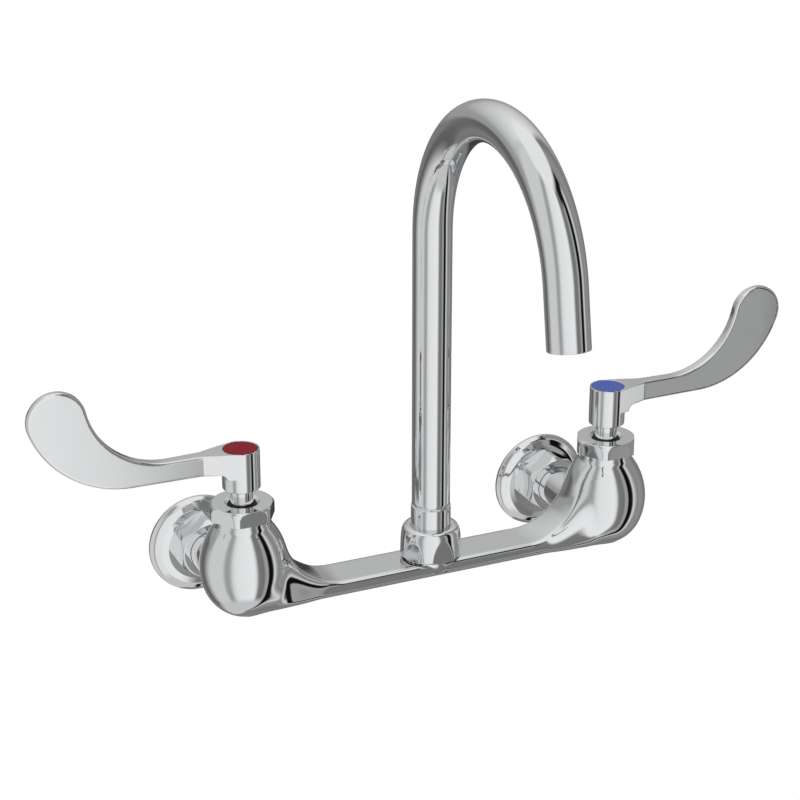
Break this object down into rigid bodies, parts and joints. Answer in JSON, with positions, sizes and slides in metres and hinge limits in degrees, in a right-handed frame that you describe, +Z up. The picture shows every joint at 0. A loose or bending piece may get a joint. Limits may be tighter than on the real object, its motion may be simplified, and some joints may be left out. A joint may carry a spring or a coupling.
{
  "type": "wall faucet",
  "caption": "Wall-mounted mixing faucet with cast valve bulbs on a cross bar, wrist blade handles and a swivelling gooseneck spout.",
  "frame": {"origin": "wall plane, midway between the two supply inlets, at their height", "axes": "+X from the hot to the cold inlet, +Y into the wall, +Z up"},
  "size_m": [0.4092, 0.2214, 0.2827],
  "materials": {
    "chrome_casting": "polished chrome plate on a brass casting",
    "chrome_turned": "polished chrome plate on turned brass",
    "chrome_tube": "polished chrome plate on drawn and bent tube",
    "chrome_lever": "polished chrome plate on a forged lever",
    "brass": "plain turned brass",
    "stainless": "plain stainless steel",
    "ceramic": "lapped white alumina ceramic",
    "rubber_seal": "moulded black rubber",
    "black_acetal": "turned black acetal",
    "white_acetal": "stamped white acetal",
    "red_index": "moulded dark red plastic",
    "blue_index": "moulded blue plastic"
  },
  "bodies": {
    "root": {"valve_body": "chrome_casting", "hot_wall_flange": "chrome_casting", "cold_wall_flange": "chrome_casting", "hot_union_nut": "chrome_turned", "cold_union_nut": "chrome_turned", "hot_union_ring": "brass", "cold_union_ring": "brass", "hot_union_washer": "rubber_seal", "cold_union_washer": "rubber_seal", "hot_bonnet_nut": "chrome_turned", "cold_bonnet_nut": "chrome_turned", "hot_cartridge_shell": "brass", "cold_cartridge_shell": "brass", "hot_shell_gasket": "rubber_seal", "cold_shell_gasket": "rubber_seal", "hot_glide_ring": "black_acetal", "cold_glide_ring": "black_acetal", "hot_fixed_disc": "ceramic", "cold_fixed_disc": "ceramic", "hot_seat_seal": "rubber_seal", "cold_seat_seal": "rubber_seal", "spout_nut": "chrome_turned", "spout_washer": "white_acetal"},
    "hot_lever": {"hot_cartridge_stem": "chrome_turned", "hot_moving_disc": "ceramic", "hot_stem_orings": "rubber_seal", "hot_handle": "chrome_lever", "hot_handle_screw": "stainless", "hot_index_button": "red_index"},
    "cold_lever": {"cold_cartridge_stem": "chrome_turned", "cold_moving_disc": "ceramic", "cold_stem_orings": "rubber_seal", "cold_handle": "chrome_lever", "cold_handle_screw": "stainless", "cold_index_button": "blue_index"},
    "spout": {"gooseneck_tube": "chrome_tube", "spout_collar": "chrome_turned", "spout_orings": "rubber_seal", "spout_retaining_ring": "stainless"}
  },
  "joints": [
    {"name": "hot_handle_turn", "type": "hinge", "parent": "root", "child": "hot_lever", "pos_m": [-0.1016, -0.074, 0.06], "axis": [0, 0, 1], "range_deg": [0, 90]},
    {"name": "cold_handle_turn", "type": "hinge", "parent": "root", "child": "cold_lever", "pos_m": [0.1016, -0.074, 0.06], "axis": [0, 0, 1], "range_deg": [-90, 0]},
    {"name": "spout_swivel", "type": "hinge", "parent": "root", "child": "spout", "pos_m": [0, -0.074, 0.02], "axis": [0, 0, 1], "range_deg": [-115, 115]}
  ]
}
